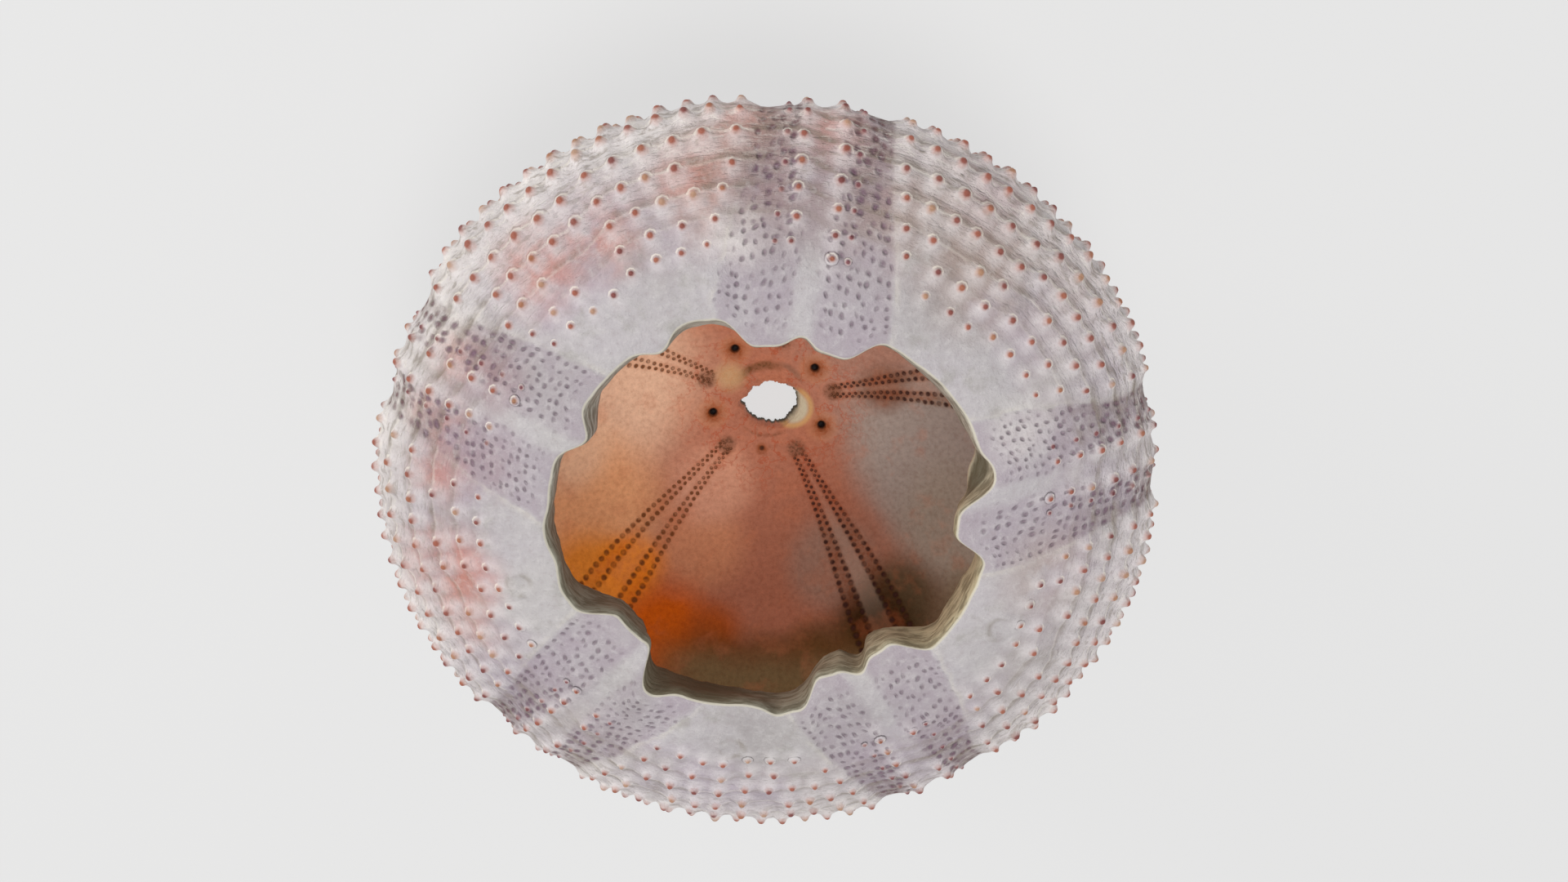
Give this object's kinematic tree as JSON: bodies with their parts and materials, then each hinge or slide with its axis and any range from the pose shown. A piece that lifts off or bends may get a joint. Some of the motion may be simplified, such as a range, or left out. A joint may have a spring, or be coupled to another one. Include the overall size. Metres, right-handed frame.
{
  "type": "sea urchin shell",
  "caption": "Empty sea urchin shell with a knobbly outside, a wide lobed mouth opening, a small vent hole at the crown and a hollow inside; it rests on its crown.",
  "frame": {"origin": "centre of the flat spot on the crown, where the shell rests", "axes": "+Z from the crown to the mouth; seen from the mouth, the middle of the first ambulacrum is 8 degrees from +X towards +Y"},
  "size_m": [0.0629, 0.063, 0.0307],
  "materials": {
    "shell": "matt, lilac white outside, peach to mauve inside"
  },
  "bodies": {
    "root": {"urchin_shell": "shell"}
  },
  "joints": []
}
